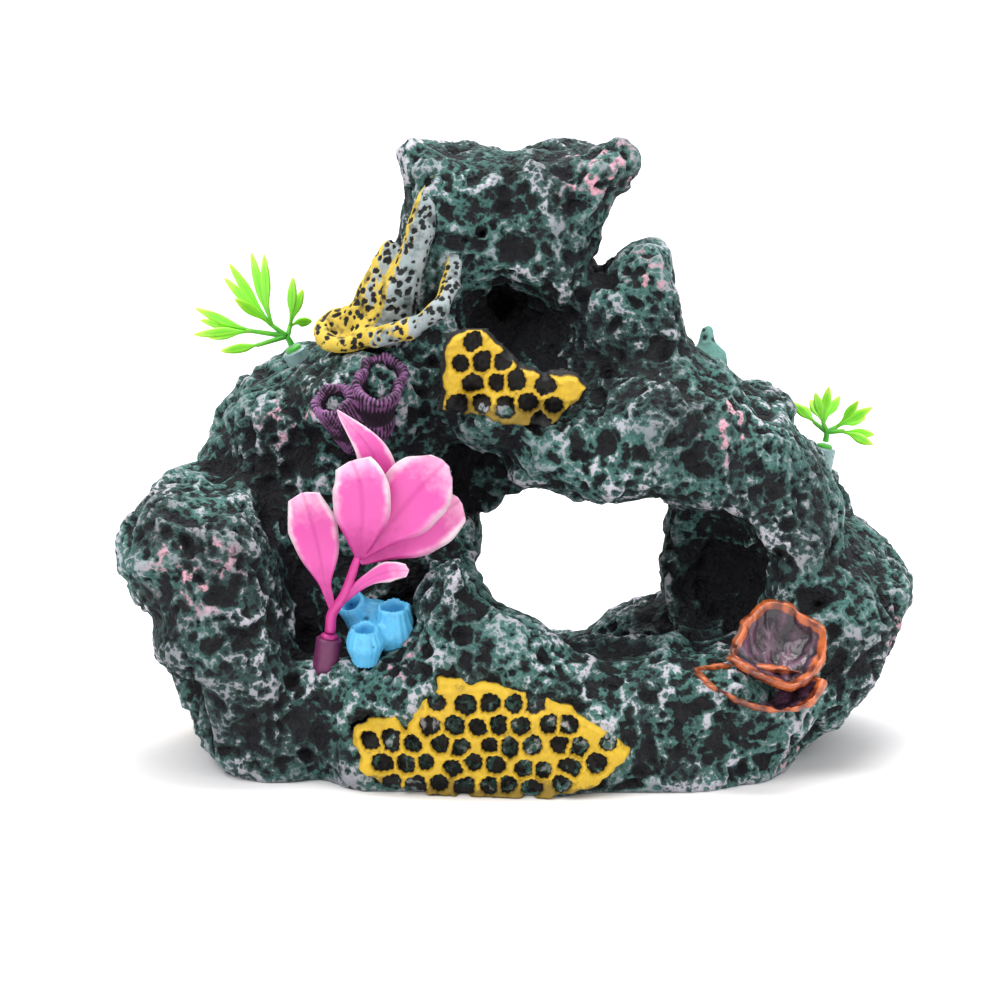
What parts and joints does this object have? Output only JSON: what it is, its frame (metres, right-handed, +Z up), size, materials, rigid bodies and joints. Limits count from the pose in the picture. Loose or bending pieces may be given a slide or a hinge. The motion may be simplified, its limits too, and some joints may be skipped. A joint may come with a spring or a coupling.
{
  "type": "aquarium cave ornament",
  "caption": "Cast rock ornament for an aquarium, with an arch to swim through, an upper cave, corals on its faces and plug-in plastic plants that sway",
  "frame": {"origin": "middle of the footprint, on the surface the ornament stands on", "axes": "+Z up, front towards -Y, the long side along X"},
  "size_m": [0.2214, 0.1196, 0.1704],
  "materials": {
    "rock_casting": "matt painted resin, dry-brushed teal and pale grey over black",
    "honeycomb_front": "matt yellow paint on black resin",
    "honeycomb_upper": "matt yellow paint on black resin",
    "tube_coral_purple": "matt plum paint",
    "tube_sponge_blue": "satin sky blue paint",
    "plate_coral_orange": "glossy orange-brown lacquer",
    "finger_coral_yellow": "matt olive yellow paint",
    "fin_coral_rear": "matt teal paint",
    "cup_coral_rear": "glossy brown lacquer",
    "coral_patch_side": "matt yellow paint",
    "sleeve_pink": "soft plastic, dark plum",
    "sleeve_green_left": "translucent soft plastic",
    "sleeve_green_right": "translucent soft plastic",
    "pin_pink": "soft plastic, magenta",
    "pin_green_left": "soft plastic, green",
    "pin_green_right": "soft plastic, green",
    "stem_pink": "soft plastic, magenta",
    "spray_green_left": "translucent soft plastic, green to yellow",
    "spray_green_right": "translucent soft plastic, green to yellow",
    "leaves_pink": "satin soft plastic, pink to white"
  },
  "bodies": {
    "rock": {"rock_casting": "rock_casting", "honeycomb_front": "honeycomb_front", "honeycomb_upper": "honeycomb_upper", "tube_coral_purple": "tube_coral_purple", "tube_sponge_blue": "tube_sponge_blue", "plate_coral_orange": "plate_coral_orange", "finger_coral_yellow": "finger_coral_yellow", "fin_coral_rear": "fin_coral_rear", "cup_coral_rear": "cup_coral_rear", "coral_patch_side": "coral_patch_side"},
    "pink_base": {"sleeve_pink": "sleeve_pink"},
    "pink_pin": {"pin_pink": "pin_pink"},
    "pink_spray": {"stem_pink": "stem_pink", "leaf_pink_centre": "leaves_pink", "leaf_pink_left": "leaves_pink", "leaf_pink_low_right": "leaves_pink", "leaf_pink_right": "leaves_pink", "leaf_pink_small": "leaves_pink", "leaf_pink_top": "leaves_pink"},
    "green_left_base": {"sleeve_green_left": "sleeve_green_left"},
    "green_left_pin": {"pin_green_left": "pin_green_left"},
    "green_left_spray": {"spray_green_left": "spray_green_left"},
    "green_right_base": {"sleeve_green_right": "sleeve_green_right"},
    "green_right_pin": {"pin_green_right": "pin_green_right"},
    "green_right_spray": {"spray_green_right": "spray_green_right"}
  },
  "joints": [
    {"name": "pull_pink", "type": "slide", "parent": "rock", "child": "pink_base", "axis": [0.1384, -0.0593, 0.9886], "range_m": [0, 0.009]},
    {"name": "turn_pink", "type": "hinge", "parent": "pink_base", "child": "pink_pin", "pos_m": [-0.05117, -0.03236, 0.03906], "axis": [0.1384, -0.0593, 0.9886], "range_deg": [-12, 12]},
    {"name": "sway_pink", "type": "hinge", "parent": "pink_pin", "child": "pink_spray", "pos_m": [-0.05098, -0.03245, 0.04047], "axis": [0.9904, 0.0083, -0.1382], "range_deg": [-5, 5], "stiffness_Nm_per_rad": 0.02},
    {"name": "pull_green_left", "type": "slide", "parent": "rock", "child": "green_left_base", "axis": [-0.4208, -0.1002, 0.9016], "range_m": [0, 0.009]},
    {"name": "turn_green_left", "type": "hinge", "parent": "green_left_base", "child": "green_left_pin", "pos_m": [-0.06266, 0.0154, 0.11046], "axis": [-0.4208, -0.1002, 0.9016], "range_deg": [-15, 15]},
    {"name": "sway_green_left", "type": "hinge", "parent": "green_left_pin", "child": "green_left_spray", "pos_m": [-0.06326, 0.01525, 0.11175], "axis": [-0.0424, 0.995, 0.0908], "range_deg": [-6, 6], "stiffness_Nm_per_rad": 0.02},
    {"name": "pull_green_right", "type": "slide", "parent": "rock", "child": "green_right_base", "axis": [0.1959, 0.049, 0.9794], "range_m": [0, 0.009]},
    {"name": "turn_green_right", "type": "hinge", "parent": "green_right_base", "child": "green_right_pin", "pos_m": [0.08794, 0.03672, 0.07889], "axis": [0.1959, 0.049, 0.9794], "range_deg": [-15, 15]},
    {"name": "sway_green_right", "type": "hinge", "parent": "green_right_pin", "child": "green_right_spray", "pos_m": [0.08822, 0.03679, 0.08029], "axis": [-0.0096, 0.9988, -0.048], "range_deg": [-6, 6], "stiffness_Nm_per_rad": 0.02}
  ]
}
